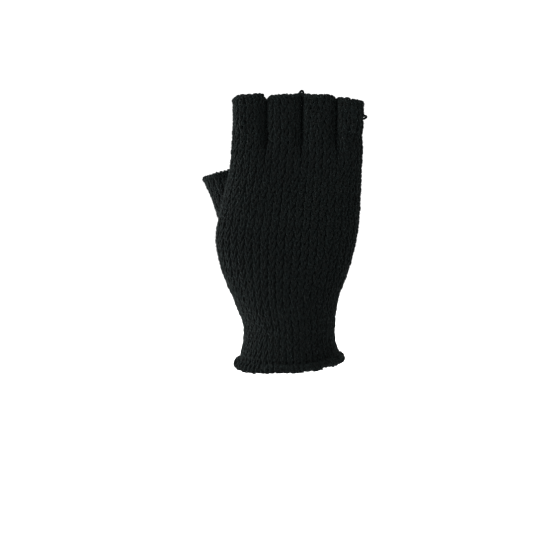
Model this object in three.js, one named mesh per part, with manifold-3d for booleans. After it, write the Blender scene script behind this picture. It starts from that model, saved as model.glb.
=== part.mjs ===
// A knitted fingerless glove for the right hand, in the shape it takes when it is worn.
// Millimetres. +Z runs from the wrist to the fingers, -Y is the back of the hand, +Y the palm,
// and -X the thumb's side. The origin is the centre of the wrist opening.
import * as THREE from "three";
import { mergeVertices } from "three/addons/utils/BufferGeometryUtils.js";
import Module from "manifold-3d";

const wasm = await Module();
wasm.setup();

// ---- Driving dimensions ----

const WALL = 2.2; // thickness of the knitted fabric
const SEAM = 0.3; // gap where two knitted sections are linked
const CUFF_TOP = 30; // where the cuff ends and the hand begins
const CROTCH = 149.5; // where the four finger sleeves begin
const HEM_HEIGHT = 4; // a curled cast-off edge at a finger or the thumb
const HEM_PROUD = 0.5; // how far that edge stands out of the wall on each side
const CUFF_HEM_HEIGHT = 4.4;
const CUFF_HEM_PROUD = 0.8;

const ROUND_SIDES = 32; // facets round the hand and the cuff
const SLEEVE_SIDES = 20; // facets round a finger or the thumb
const HEM_SIDES = 6; // facets round a curled edge
const THREAD_SIDES = 5; // facets round an elastic thread

// Outline of the hand and cuff: the two side edges, the middle and half of the depth, and how
// square the section is. The middle bows towards the palm where the heel of the thumb fills it.
const STATIONS = [
  { z: 0, left: -34.4, right: 36, middle: 0, depth: 30.5, square: 2 },
  { z: 12, left: -30.4, right: 31.2, middle: 0, depth: 27.6, square: 2 },
  { z: 25, left: -29.3, right: 29.5, middle: 0, depth: 26.6, square: 2 },
  { z: 40, left: -34.8, right: 30.6, middle: 0.8, depth: 25, square: 2.1 },
  { z: 60, left: -42.8, right: 37.6, middle: 1.8, depth: 22, square: 2.2 },
  { z: 82, left: -46.4, right: 42.8, middle: 2.4, depth: 19, square: 2.4 },
  { z: 105, left: -41.8, right: 44.6, middle: 1.4, depth: 17, square: 2.6 },
  { z: 125, left: -37, right: 45, middle: 0.5, depth: 15, square: 3 },
  { z: 150, left: -35.9, right: 46.9, middle: 0, depth: 12.2, square: 4 },
];

const CUFF_ELASTICS = 4; // elastic threads laid inside the cuff
const ELASTIC_LOWEST = 8;
const ELASTIC_SPACING = 5.5;
const ELASTIC_THICKNESS = 1;

// Finger sleeves: their two sides and the height of their hem.
const SLEEVE_GAP = 0.6; // between two neighbouring sleeves
const FINGERS = [
  { name: "index", left: -35.6, right: -14.2, top: 171 },
  { name: "middle", left: -14.2, right: 8.2, top: 171.2 },
  { name: "ring", left: 8.2, right: 29.6, top: 171 },
  { name: "little", left: 29.6, right: 47.2, top: 168.4 },
];
const SLEEVE_DEPTH_BASE = 12.1; // half depth where a sleeve leaves the hand
const SLEEVE_DEPTH_TOP = 11.2;
const SLEEVE_SQUARE = 2.9;

// Linking stitches that close the fork between two fingers.
const CROTCH_WIDTH = 2.4;
const CROTCH_HEIGHT = 2.2;
const CROTCH_ROUND = 0.6;
const CROTCH_FACETS = 4;

// Thumb: a tube on a slanting line, with its sections on parallel planes.
const THUMB_BASE = new THREE.Vector3(-30, 8, 84);
const THUMB_TIP = new THREE.Vector3(-43.6, 22, 122);
const THUMB_NORMAL = new THREE.Vector3(-0.26, 0.12, 0.96).normalize();
const THUMB_HALF_WIDTH_BASE = 14.5;
const THUMB_HALF_WIDTH_TIP = 12;
const THUMB_HALF_DEPTH = 11.8;
const GUSSET_END = 0.6; // shares of the thumb's length
const SLEEVE_END = 0.87;

const BLACK_YARN = 0x0d1213;
const BLACK_ELASTIC = 0x1b2021;

const material = {
  knit: new THREE.MeshStandardMaterial({ color: BLACK_YARN, roughness: 0.95, metalness: 0 }),
  hem: new THREE.MeshStandardMaterial({ color: BLACK_YARN, roughness: 0.95, metalness: 0 }),
  elastic: new THREE.MeshStandardMaterial({ color: BLACK_ELASTIC, roughness: 0.7, metalness: 0 }),
};

// ---- Sections ----

const X_AXIS = new THREE.Vector3(1, 0, 0);
const Y_AXIS = new THREE.Vector3(0, 1, 0);

// A Catmull-Rom value of one station entry at a height.
function between(key, z) {
  const last = STATIONS.length - 1;
  let i = 0;
  while (i < last - 1 && z > STATIONS[i + 1].z) i++;
  const at = (k) => STATIONS[Math.min(last, Math.max(0, k))];
  const [before, low, high, after] = [at(i - 1), at(i), at(i + 1), at(i + 2)];
  const span = high.z - low.z;
  const t = THREE.MathUtils.clamp((z - low.z) / span, 0, 1);
  const slopeLow = ((high[key] - before[key]) / (high.z - before.z || span)) * span;
  const slopeHigh = ((after[key] - low[key]) / (after.z - low.z || span)) * span;
  const [t2, t3] = [t * t, t * t * t];
  return (
    (2 * t3 - 3 * t2 + 1) * low[key] +
    (t3 - 2 * t2 + t) * slopeLow +
    (3 * t2 - 2 * t3) * high[key] +
    (t3 - t2) * slopeHigh
  );
}

// Section of the hand and cuff at height z.
function handSection(z) {
  const [left, right] = [between("left", z), between("right", z)];
  return {
    centre: new THREE.Vector3((left + right) / 2, between("middle", z), z),
    across: X_AXIS,
    through: Y_AXIS,
    halfWidth: (right - left) / 2,
    halfDepth: between("depth", z),
    square: between("square", z),
  };
}

// Sections of one finger's sleeve.
function fingerSection(finger) {
  return (z) => {
    const share = (z - CROTCH) / (finger.top - CROTCH);
    return {
      centre: new THREE.Vector3((finger.left + finger.right) / 2, 0, z),
      across: X_AXIS,
      through: Y_AXIS,
      halfWidth: (finger.right - finger.left - SLEEVE_GAP) / 2,
      halfDepth: THREE.MathUtils.lerp(SLEEVE_DEPTH_BASE, SLEEVE_DEPTH_TOP, share),
      square: SLEEVE_SQUARE,
    };
  };
}

const thumbAcross = X_AXIS.clone().projectOnPlane(THUMB_NORMAL).normalize();
const thumbThrough = THUMB_NORMAL.clone().cross(thumbAcross);
const thumbLength = THUMB_TIP.clone().sub(THUMB_BASE).length();

// Section of the thumb at a distance along its line.
function thumbSection(along) {
  const share = along / thumbLength;
  return {
    centre: THUMB_BASE.clone().lerp(THUMB_TIP, share),
    across: thumbAcross,
    through: thumbThrough,
    halfWidth: THREE.MathUtils.lerp(THUMB_HALF_WIDTH_BASE, THUMB_HALF_WIDTH_TIP, share),
    halfDepth: THUMB_HALF_DEPTH,
    square: 2,
  };
}

// ---- Shapes: a lathe of the wall's profile, pressed from a circle to the glove's section ----

const LATHE_RADIUS = 100;

function superellipse(cosine, power) {
  return Math.sign(cosine) * Math.abs(cosine) ** (2 / power);
}

// Presses a lathe made round LATHE_RADIUS onto the sections. On the axis it meets their centre.
function press(geometry, section, surfaceOffset = 0) {
  const place = geometry.getAttribute("position");
  for (let i = 0; i < place.count; i++) {
    const [x, along, z] = [place.getX(i), place.getY(i), place.getZ(i)];
    const radius = Math.hypot(x, z);
    const s = section(along);
    const point = s.centre.clone();
    if (radius > 1) {
      const inset = LATHE_RADIUS - radius - surfaceOffset;
      const [c, d] = [x / radius, -z / radius];
      point.addScaledVector(s.across, (s.halfWidth - inset) * superellipse(c, s.square));
      point.addScaledVector(s.through, (s.halfDepth - inset) * superellipse(d, s.square));
    }
    place.setXYZ(i, point.x, point.y, point.z);
  }
  geometry.deleteAttribute("normal");
  geometry.deleteAttribute("uv");
  return mergeVertices(geometry, 1e-3);
}

// A tube of fabric from one height to another, open at both ends.
function wall(section, low, high, steps, sides) {
  const profile = [];
  const height = (i) => THREE.MathUtils.lerp(low, high, i / steps);
  for (let i = 0; i <= steps; i++) profile.push(new THREE.Vector2(LATHE_RADIUS, height(i)));
  for (let i = steps; i >= 0; i--) profile.push(new THREE.Vector2(LATHE_RADIUS - WALL, height(i)));
  profile.push(profile[0].clone());
  return press(new THREE.LatheGeometry(profile, sides), section);
}

// A solid filled out to the sections, offset outwards.
function filled(section, low, high, steps, sides, offset) {
  const profile = [new THREE.Vector2(0, low)];
  for (let i = 0; i <= steps; i++) {
    profile.push(new THREE.Vector2(LATHE_RADIUS, THREE.MathUtils.lerp(low, high, i / steps)));
  }
  profile.push(new THREE.Vector2(0, high));
  return press(new THREE.LatheGeometry(profile, sides), section, offset);
}

// A ring with an oval cross-section, such as a curled edge or a thread.
function ring(section, inset, halfThick, middle, halfHigh, facets, sides) {
  const profile = [];
  for (let i = 0; i <= facets; i++) {
    const turn = (i % facets) * ((2 * Math.PI) / facets) - Math.PI / 2;
    const radius = LATHE_RADIUS - inset + halfThick * Math.cos(turn);
    profile.push(new THREE.Vector2(radius, middle + halfHigh * Math.sin(turn)));
  }
  return press(new THREE.LatheGeometry(profile, sides), section);
}

// A curled edge that stands proud of the wall on both faces.
function hem(section, low, high, proud, sides) {
  const halfHigh = (high - low) / 2;
  return ring(section, WALL / 2, WALL / 2 + proud, low + halfHigh, halfHigh, HEM_SIDES, sides);
}

// ---- Cutting ----

function toSolid(geometry) {
  return new wasm.Manifold(
    new wasm.Mesh({
      numProp: 3,
      vertProperties: geometry.getAttribute("position").array,
      triVerts: new Uint32Array(geometry.index.array),
    }),
  );
}

function toGeometry(solid) {
  const { vertProperties, triVerts } = solid.getMesh();
  const geometry = new THREE.BufferGeometry();
  geometry.setAttribute("position", new THREE.BufferAttribute(vertProperties, 3));
  geometry.setIndex(new THREE.BufferAttribute(triVerts, 1));
  return geometry;
}

// The piece of a cut solid that lies furthest along +Z.
function topPiece(solid) {
  const highest = (piece) => piece.boundingBox().max[2];
  return solid.decompose().reduce((best, piece) => (highest(piece) > highest(best) ? piece : best));
}

// ---- The glove ----

const glove = new THREE.Group();

function add(name, geometry, slot) {
  const mesh = new THREE.Mesh(geometry, material[slot]);
  mesh.name = name;
  glove.add(mesh);
}

function makeCuff() {
  const start = CUFF_HEM_HEIGHT + SEAM;
  add("cuff_hem", hem(handSection, 0, CUFF_HEM_HEIGHT, CUFF_HEM_PROUD, ROUND_SIDES), "hem");
  add("cuff", wall(handSection, start, CUFF_TOP, 4, ROUND_SIDES), "knit");
  const half = ELASTIC_THICKNESS / 2;
  for (let i = 0; i < CUFF_ELASTICS; i++) {
    const z = ELASTIC_LOWEST + i * ELASTIC_SPACING;
    const inset = WALL + 2 * SEAM + half;
    const thread = ring(handSection, inset, half, z, half, THREAD_SIDES, ROUND_SIDES);
    add(`cuff_elastic_${i + 1}`, thread, "elastic");
  }
}

function makeHandAndThumb() {
  const start = CUFF_TOP + SEAM;
  const steps = 12;
  const hand = toSolid(wall(handSection, start, CROTCH, steps, ROUND_SIDES));
  const keepClear = toSolid(filled(handSection, start, CROTCH, steps, ROUND_SIDES, SEAM));
  const bore = toSolid(filled(thumbSection, 0, thumbLength, 4, SLEEVE_SIDES, -WALL));
  add("hand_body", toGeometry(hand.subtract(bore)), "knit");

  const gussetEnd = thumbLength * GUSSET_END;
  const sleeveEnd = thumbLength * SLEEVE_END;
  const gusset = toSolid(wall(thumbSection, 0, gussetEnd, 3, SLEEVE_SIDES));
  const sleeve = toSolid(wall(thumbSection, gussetEnd + SEAM, sleeveEnd, 2, SLEEVE_SIDES));
  const hemStart = sleeveEnd + SEAM;
  add("thumb_gusset", toGeometry(topPiece(gusset.subtract(keepClear))), "knit");
  add("thumb_sleeve", toGeometry(topPiece(sleeve.subtract(keepClear))), "knit");
  add("thumb_hem", hem(thumbSection, hemStart, thumbLength, HEM_PROUD, SLEEVE_SIDES), "hem");
}

function makeFinger(finger) {
  const section = fingerSection(finger);
  const hemStart = finger.top - HEM_HEIGHT;
  const sleeve = wall(section, CROTCH + SEAM, hemStart - SEAM, 2, SLEEVE_SIDES);
  add(`${finger.name}_sleeve`, sleeve, "knit");
  // The hem stays inside its own finger's width, so that it passes its neighbours.
  const narrowed = (z) => {
    const s = section(z);
    return { ...s, halfWidth: s.halfWidth - HEM_PROUD };
  };
  add(`${finger.name}_hem`, hem(narrowed, hemStart, finger.top, HEM_PROUD, SLEEVE_SIDES), "hem");
}

function makeCrotch(left, right) {
  const outline = new THREE.Shape();
  const [w, h, r] = [CROTCH_WIDTH / 2, CROTCH_HEIGHT / 2, CROTCH_ROUND];
  outline.moveTo(-w + r, -h);
  outline.lineTo(w - r, -h);
  outline.absarc(w - r, -h + r, r, -Math.PI / 2, 0);
  outline.lineTo(w, h - r);
  outline.absarc(w - r, h - r, r, 0, Math.PI / 2);
  outline.lineTo(-w + r, h);
  outline.absarc(-w + r, h - r, r, Math.PI / 2, Math.PI);
  outline.lineTo(-w, -h + r);
  outline.absarc(-w + r, -h + r, r, Math.PI, 1.5 * Math.PI);
  const halfLength = handSection(CROTCH).halfDepth - WALL - SEAM - 0.5;
  const options = { depth: 2 * halfLength, bevelEnabled: false, curveSegments: CROTCH_FACETS };
  const bar = new THREE.ExtrudeGeometry(outline, options);
  bar.rotateX(Math.PI / 2);
  bar.translate(left.right, halfLength, CROTCH - SEAM - CROTCH_HEIGHT / 2);
  bar.deleteAttribute("normal");
  bar.deleteAttribute("uv");
  add(`${left.name}_${right.name}_crotch`, mergeVertices(bar, 1e-3), "hem");
}

makeCuff();
makeHandAndThumb();
FINGERS.forEach(makeFinger);
FINGERS.slice(1).forEach((finger, i) => makeCrotch(FINGERS[i], finger));

export default glove;
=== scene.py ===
# The looks of a knitted fingerless glove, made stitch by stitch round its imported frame.
# Lengths are in millimetres and become metres where a mesh or an object is made.
# Axes: +Z from wrist to fingers, -Y the back of the hand, +Y the palm, -X the thumb's side.
import math

import bpy
import numpy as np
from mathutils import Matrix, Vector


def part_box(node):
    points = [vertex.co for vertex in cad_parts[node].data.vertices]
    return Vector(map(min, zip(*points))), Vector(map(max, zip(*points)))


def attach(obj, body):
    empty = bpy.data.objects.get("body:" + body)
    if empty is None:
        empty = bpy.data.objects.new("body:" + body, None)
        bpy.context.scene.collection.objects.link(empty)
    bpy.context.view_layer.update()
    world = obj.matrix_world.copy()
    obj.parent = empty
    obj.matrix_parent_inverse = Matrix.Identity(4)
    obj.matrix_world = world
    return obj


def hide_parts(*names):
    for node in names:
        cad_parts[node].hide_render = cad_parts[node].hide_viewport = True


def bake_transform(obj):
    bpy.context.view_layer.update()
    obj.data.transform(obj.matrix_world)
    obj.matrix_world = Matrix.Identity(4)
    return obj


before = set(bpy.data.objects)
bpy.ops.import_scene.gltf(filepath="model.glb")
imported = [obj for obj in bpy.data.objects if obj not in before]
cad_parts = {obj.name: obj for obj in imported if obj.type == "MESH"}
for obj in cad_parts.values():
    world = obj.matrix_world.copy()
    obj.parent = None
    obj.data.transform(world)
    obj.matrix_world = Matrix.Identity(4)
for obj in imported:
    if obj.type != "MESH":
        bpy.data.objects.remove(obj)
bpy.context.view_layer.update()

MM = 0.001
TURN = 2 * math.pi
rng = np.random.default_rng(396)

# ---- The glove's outline, as the frame's solids have it ----

# Height, the two side edges, the middle and half of the depth, and how square the section is.
STATIONS = np.array([
    (0, -34.4, 36, 0, 30.5, 2),
    (12, -30.4, 31.2, 0, 27.6, 2),
    (25, -29.3, 29.5, 0, 26.6, 2),
    (40, -34.8, 30.6, 0.8, 25, 2.1),
    (60, -42.8, 37.6, 1.8, 22, 2.2),
    (82, -46.4, 42.8, 2.4, 19, 2.4),
    (105, -41.8, 44.6, 1.4, 17, 2.6),
    (125, -37, 45, 0.5, 15, 3),
    (150, -35.9, 46.9, 0, 12.2, 4),
])
SECTION_POINTS = 1440  # points on a section before they are spaced evenly
RING_POINTS = 288  # points round the fabric's own grid
SOLID_WALL = 2.2  # the thickness of the frame's fabric solids
CUFF_TOP = 30.15  # where the cuff's courses end and the hand's begin
CROTCH = 149.5  # where the fingers part
VALLEY_START = 126  # where the furrows between the knuckles begin
VALLEY_FLOOR = 0.6  # how much of the depth is left in a furrow at the fork
CUFF_LIFT = 0.5  # the cuff's edge is higher at the little finger's side
CUFF_LIFT_AT = (0, 16)
CUFF_STEP = 1.5  # and steps up once there
CUFF_STEP_AT = (18.5, 23.5)
CUFF_DROP = 2.2  # and lower at the thumb's side
CUFF_DROP_AT = (6, 30)
CUFF_LIFT_END = 16  # none of this is left at this height
ROLL = 0.7  # the edge rolls out this far, above a groove
ROLL_RIDGE, RIDGE_WIDTH = 1.4, 1.8
ROLL_GROOVE, GROOVE_WIDTH = 5.2, 1.3
GROOVE_DEPTH = 1.1  # as a share of the ridge
LOFT = 0.8  # the yarn stands this far outside the solid's face over the palm
LOFT_RIGHT = 0.9  # and this much further at the little finger's side
LOFT_RIGHT_AT = (10, 30)
LOFT_STARTS_AT = (8, 34)
LOFT_ENDS_AT = (132, CROTCH)
THENAR = (-27, 76)  # where the ball of the thumb fills out the palm, in x and z
THENAR_WIDTH = 17
THENAR_LENGTH = 24
THENAR_HEIGHT = 7
PALM_BLEND = 0.7  # the share of the depth over which the swell reaches its height
SLEEVE_DEPTH_BASE = 12.1
SLEEVE_DEPTH_TOP = 11.2
SLEEVE_SQUARE = 2.2
SLEEVE_SIDE_SQUARE = 3.4  # the sides lie flat against each other
SLEEVE_PRESS = 0.3  # neighbouring sleeves press into each other by this much
DROOP_SHARPNESS = 8  # a high power keeps the droop of a hem at its two ends
FACING_START = 3.2  # how far from its side a sleeve starts to face its neighbour
FACING_BLEND = 2
FINGERS = {  # the two sides, the hem's height, its slope and how far its two ends droop
    "index": (-35.6, -14.2, 171, 0.05, 1.6, 2),
    "middle": (-14.2, 8.2, 171.2, 0.05, 2, 0.2),
    "ring": (8.2, 29.6, 171, -0.04, 0.2, 0.6),
    "little": (29.6, 47.2, 168.4, -0.13, 0.2, 0.8),
}
GLOVE_LEFT = FINGERS["index"][0]
GLOVE_RIGHT = FINGERS["little"][1]
THUMB_BASE = np.array((-29.4, 8.0, 84.0))
THUMB_TIP = np.array((-43.6, 22.0, 122.0))
THUMB_NORMAL = np.array((-0.26, 0.12, 0.96)) / np.linalg.norm((-0.26, 0.12, 0.96))
THUMB_ACROSS = np.array((1.0, 0, 0)) - THUMB_NORMAL * THUMB_NORMAL[0]
THUMB_ACROSS /= np.linalg.norm(THUMB_ACROSS)
THUMB_THROUGH = np.cross(THUMB_NORMAL, THUMB_ACROSS)
THUMB_HALF_WIDTH_BASE = 13
THUMB_HALF_WIDTH_TIP = 12.4
THUMB_FLARE = 1.2  # the mouth is this much wider again
THUMB_HALF_DEPTH = 11.8
THUMB_LENGTH = float(np.linalg.norm(THUMB_TIP - THUMB_BASE))
THUMB_JOIN = 0.6 * THUMB_LENGTH  # where the gusset ends and the sleeve begins

# ---- The knit ----

YARN_SIDES = 7
LOOP_STEPS = 14  # steps along the yarn in one stitch
# Long held loops and short tucked loops take turns. The half height is a share of the course
# spacing, the lean of the legs and the pull that draws them together are in radians of a stitch,
# and the depth is how far the legs stand in front of the heads and feet.
HELD = {"reach": 1.2, "lean": 1.42, "pull": 0.26, "depth": 0.85, "back": 0, "yarn": 0.84, "sway": 0.5}
TUCK = {"reach": 0.8, "lean": 1.3, "pull": 0.5, "depth": 0.7, "back": 0.08, "yarn": 0.78, "sway": -0.5}
PLAIN = {"reach": 1.0, "lean": 1.45, "pull": 0.3, "depth": 0.8, "back": 0, "yarn": 0.66, "sway": 0}
# How far the parts of a stitch vary at random, in the same units.
UNEVEN_REACH = 0.07
UNEVEN_LEAN = 0.1
UNEVEN_SWAY = 0.18
UNEVEN_DRIFT = 0.34  # like sway, but over several stitches
UNEVEN_HEIGHT = 0.2
UNEVEN_WANDER = 0.35  # like height, but over several stitches
UNEVEN_INSET = 0.15
UNEVEN_YARN = 0.09  # as a share of the yarn
WANDER_CELLS, WANDER_SIZE = 9, 14  # how many of its cells go round, and how high one is
DRIFT_SIZE = 7
PLY_TWIST = TURN / 6.5  # one turn of the yarn's two plies in 6.5 mm
HAND_WALES = 44
HAND_COURSE = 2.95
CUFF_COURSE = 2.6
CUFF_HEM_COURSE = 2.1
HEM_COURSE = 1.7
FINGER_WALES = {"index": 16, "middle": 16, "ring": 15, "little": 14}
THUMB_WALES = 16
HEM_YARN = 0.55  # half the thickness of the whipping yarn
LOOSE_YARN = 0.74  # and of a loose end
FABRIC = 3.3  # the fabric's whole thickness
NAP_RISE = 1.2  # the web lies this much nearer the face where two sleeves meet
NAP_HALF = 0.12  # half the web's thickness
NAP_ROW = 1.5  # the height of one row of its faces
NAP_GRAIN = 0.3  # the web and the fibres take their texture from their place, at this scale
WHIP_STEPS = 9  # steps along the yarn in one wrap
WHIP_LIMIT = 1.5  # no wrap varies by more than this many deviations
WHIP_RECESS = 0.55  # the wraps lie this much deeper where two sleeves meet
WHIP_UNEVEN = 0.08
FIBRE = 0.034  # half the thickness of a stray fibre
FIBRE_LENGTH = (0.5, 1.5)
LONG_FIBRE = 1.7  # one fibre in four is this many times as long
FIBRE_FAN = 0.9  # how far round the yarn from its front a fibre may start, in radians
FIBRE_LEAN = 0.8  # how far fibres lean along the yarn
FIBRE_ASIDE = 0.5  # and across it
FIBRE_DROOP = 0.55  # how far a fibre's outer part turns away
FIBRE_ROOT = 0.8  # where a fibre starts, as a share of the yarn's half thickness
FIBRE_INNER, FIBRE_OUTER = 0.55, 0.5  # the shares of its length before and after its bend
FIBRE_TAPER = 0.8
FIBRE_POINTS = 7  # three at its root, three at its bend and its tip
CROWDED = 0.5  # no fibre stands where points are nearer than this to a neighbour's side
EYELET = 1.15  # the radius to which a stretched spot opens
EYELET_PULL = 3.0  # how far from its middle the yarns still give way


def smooth_through(x, knots, values):
    """Cubic values at x of a curve through the knots."""
    slope = np.gradient(values, knots)
    k = np.clip(np.searchsorted(knots, x, side="right") - 1, 0, len(knots) - 2)
    span = knots[k + 1] - knots[k]
    t = (x - knots[k]) / span
    return (
        (2 * t**3 - 3 * t**2 + 1) * values[k]
        + (t**3 - 2 * t**2 + t) * slope[k] * span
        + (3 * t**2 - 2 * t**3) * values[k + 1]
        + (t**3 - t**2) * slope[k + 1] * span
    )


def ease(t):
    """A smooth curve from 0 at 0 to 1 at 1, level at both ends."""
    return t * t * (3 - 2 * t)


def smoothstep(x, low, high):
    """0 below low, 1 above high and a smooth curve between them."""
    return ease(np.clip((np.asarray(x, float) - low) / (high - low), 0, 1))


def power_ring(half_width, half_depth, square, side_square=None):
    """A superellipse as two offsets, from the -X side round by the back of the hand."""
    turn = np.linspace(math.pi, 3 * math.pi, SECTION_POINTS, endpoint=False)
    c, s = np.cos(turn), np.sin(turn)
    across = half_width * np.sign(c) * np.abs(c) ** (2 / square)
    through = half_depth * np.sign(s) * np.abs(s) ** (2 / (side_square or square))
    return across, through


def even_ring(points):
    """The same closed ring with evenly spaced points."""
    closed = np.vstack([points, points[:1]])
    length = np.concatenate([[0], np.cumsum(np.linalg.norm(np.diff(closed, axis=0), axis=1))])
    want = np.linspace(0, length[-1], RING_POINTS, endpoint=False)
    return np.stack([np.interp(want, length, closed[:, k]) for k in range(3)], 1)


class Fabric:
    """A tube of cloth: one ring of evenly spaced points for each level up it."""

    def __init__(self, ring_at, low, high, step=1.0):
        self.levels = np.arange(low, high + step / 2, step)
        self.points = np.array([even_ring(ring_at(level)) for level in self.levels])
        round_it = np.roll(self.points, -1, 1) - np.roll(self.points, 1, 1)
        up_it = np.gradient(self.points, axis=0)
        normal = np.cross(round_it, up_it)
        self.normals = normal / np.linalg.norm(normal, axis=2, keepdims=True)

    def at(self, turn, level):
        """Points on the outer face, and the normals there, at turns round and levels up."""
        turn, level = np.broadcast_arrays(np.asarray(turn, float), np.asarray(level, float))
        column = (turn % 1.0) * RING_POINTS
        row = (level - self.levels[0]) / (self.levels[1] - self.levels[0])
        row = np.clip(row, 0, len(self.levels) - 1.001)
        c, r = column.astype(int), row.astype(int)
        fc, fr = (column - c)[..., None], (row - r)[..., None]
        c, c2 = c % RING_POINTS, (c + 1) % RING_POINTS

        def mix(grid):
            low = grid[r, c] * (1 - fc) + grid[r, c2] * fc
            high = grid[r + 1, c] * (1 - fc) + grid[r + 1, c2] * fc
            return low * (1 - fr) + high * fr

        normal = mix(self.normals)
        return mix(self.points), normal / np.linalg.norm(normal, axis=-1, keepdims=True)


def hand_numbers(z):
    """The left and right edges, the middle and half of the depth, and the squareness at z."""
    z = np.asarray(z, float)
    return [smooth_through(z, STATIONS[:, 0], STATIONS[:, k]) for k in range(1, 6)]


def sleeve_swell(x):
    """How far the four fingers fill out the hand's depth at x, from 0 to 1."""
    swell = np.zeros_like(x)
    for left, right, *_ in FINGERS.values():
        away = np.abs(x - (left + right) / 2) / ((right - left) / 2)
        swell = np.maximum(swell, np.clip(1 - away**SLEEVE_SQUARE, 0, 1) ** (1 / SLEEVE_SIDE_SQUARE))
    return swell


def thenar(x, z):
    """How far the ball of the thumb pushes the palm out."""
    away = ((x - THENAR[0]) / THENAR_WIDTH) ** 2 + ((z - THENAR[1]) / THENAR_LENGTH) ** 2
    return THENAR_HEIGHT * np.exp(-away)


def furrow_share(x, z, own):
    """The share of the hand's depth that is left in the furrows below the forks."""
    filled = np.maximum(sleeve_swell(x), VALLEY_FLOOR)
    furrow = np.minimum(1, filled / np.maximum(own, 1e-3))
    return 1 - smoothstep(z, VALLEY_START, CROTCH) * (1 - furrow)


def edge_lift(x, z):
    """How far the cuff's edge is raised or lowered. It fades out up the cuff."""
    near_edge = 1 - smoothstep(z, 0, CUFF_LIFT_END)
    lift = CUFF_LIFT * smoothstep(x, *CUFF_LIFT_AT) + CUFF_STEP * smoothstep(x, *CUFF_STEP_AT)
    return (lift - CUFF_DROP * smoothstep(-x, *CUFF_DROP_AT)) * near_edge


def edge_roll(z):
    """How far the cuff's edge stands out as a ridge, and in as the groove above it."""
    ridge = np.exp(-(((z - ROLL_RIDGE) / RIDGE_WIDTH) ** 2))
    groove = np.exp(-(((z - ROLL_GROOVE) / GROOVE_WIDTH) ** 2))
    return ROLL * (ridge - GROOVE_DEPTH * groove)


def hand_ring(z):
    """The ring of the hand and cuff at one height."""
    left, right, middle, depth, square = hand_numbers(z)
    half = (right - left) / 2
    across, through = power_ring(half, depth, square)
    x = (left + right) / 2 + across
    through = through * furrow_share(x, z, np.abs(through) / depth)
    lift = edge_lift(x, z)
    loft = smoothstep(z, *LOFT_STARTS_AT) * (1 - smoothstep(z, *LOFT_ENDS_AT))
    x = x + loft * (LOFT * across / half + LOFT_RIGHT * smoothstep(x, *LOFT_RIGHT_AT))
    through = through * (1 + loft * LOFT / depth)
    roll = edge_roll(z)
    x = x + roll * across / half
    through = through * (1 + roll / depth)
    palm = smoothstep(through / depth, 0, PALM_BLEND)
    return np.stack([x, middle + through + palm * thenar(x, z), z + lift], 1)


def sleeve_ring(left, right, top, slope, droop_left, droop_right):
    """The rings of one finger's sleeve, as a function of the height."""
    low = left - SLEEVE_PRESS * (left > GLOVE_LEFT)
    high = right + SLEEVE_PRESS * (right < GLOVE_RIGHT)
    half, centre = (high - low) / 2, (high + low) / 2

    def ring(z):
        depth = SLEEVE_DEPTH_BASE + (SLEEVE_DEPTH_TOP - SLEEVE_DEPTH_BASE) * (z - CROTCH) / (top - CROTCH)
        across, through = power_ring(half, depth, SLEEVE_SQUARE, SLEEVE_SIDE_SQUARE)
        droop = np.where(across < 0, droop_left, droop_right) * np.abs(across / half) ** DROOP_SHARPNESS
        lift = (across * slope - droop) * smoothstep(z, CROTCH, top)
        return np.stack([centre + across, through, z + lift], 1)

    return ring


def beside_neighbours(finger):
    """Return how near points are to a side of a sleeve that faces another sleeve, from 0 to 1."""
    left, right, *_ = FINGERS[finger]

    def nearness(points):
        x = points[:, 0]
        by_left = (left > GLOVE_LEFT) * smoothstep(left + FACING_START - x, 0, FACING_BLEND)
        by_right = (right < GLOVE_RIGHT) * smoothstep(x - right + FACING_START, 0, FACING_BLEND)
        return np.maximum(by_left, by_right)

    return nearness


def thumb_half_width(along):
    """Half of the thumb's width at a distance along its line."""
    taper = THUMB_HALF_WIDTH_BASE + (THUMB_HALF_WIDTH_TIP - THUMB_HALF_WIDTH_BASE) * along / THUMB_LENGTH
    return taper + THUMB_FLARE * smoothstep(along, THUMB_JOIN, THUMB_LENGTH)


def thumb_ring(along):
    """The ring of the thumb at a distance along its line."""
    across, through = power_ring(thumb_half_width(along), THUMB_HALF_DEPTH, 2)
    centre = THUMB_BASE + (THUMB_TIP - THUMB_BASE) * along / THUMB_LENGTH
    return centre + np.outer(across, THUMB_ACROSS) + np.outer(through, THUMB_THROUGH)


def depth_in_thumb(points):
    """How deep points are inside the thumb's tube, in about millimetres. Outside is negative."""
    offset = points - THUMB_BASE
    slope = (THUMB_TIP - THUMB_BASE) / np.dot(THUMB_TIP - THUMB_BASE, THUMB_NORMAL)
    height = offset @ THUMB_NORMAL
    along = height * np.linalg.norm(slope)
    local = offset - np.outer(height, slope).reshape(offset.shape)
    reach = np.hypot(
        local @ THUMB_ACROSS / thumb_half_width(along), local @ THUMB_THROUGH / THUMB_HALF_DEPTH
    )
    return np.where(along > 0, (1 - reach) * THUMB_HALF_DEPTH, -1.0)


def depth_in_hand(points):
    """How deep points are inside the hand's outer face, in about millimetres."""
    left, right, middle, depth, square = hand_numbers(points[..., 2])
    x = np.abs(points[..., 0] - (left + right) / 2) / ((right - left) / 2)
    palm = thenar(points[..., 0], points[..., 2])
    y = np.abs(points[..., 1] - middle) / np.where(points[..., 1] > middle, depth + palm, depth)
    return (1 - (x**square + y**square) ** (1 / square)) * depth


# ---- Meshes ----


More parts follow.
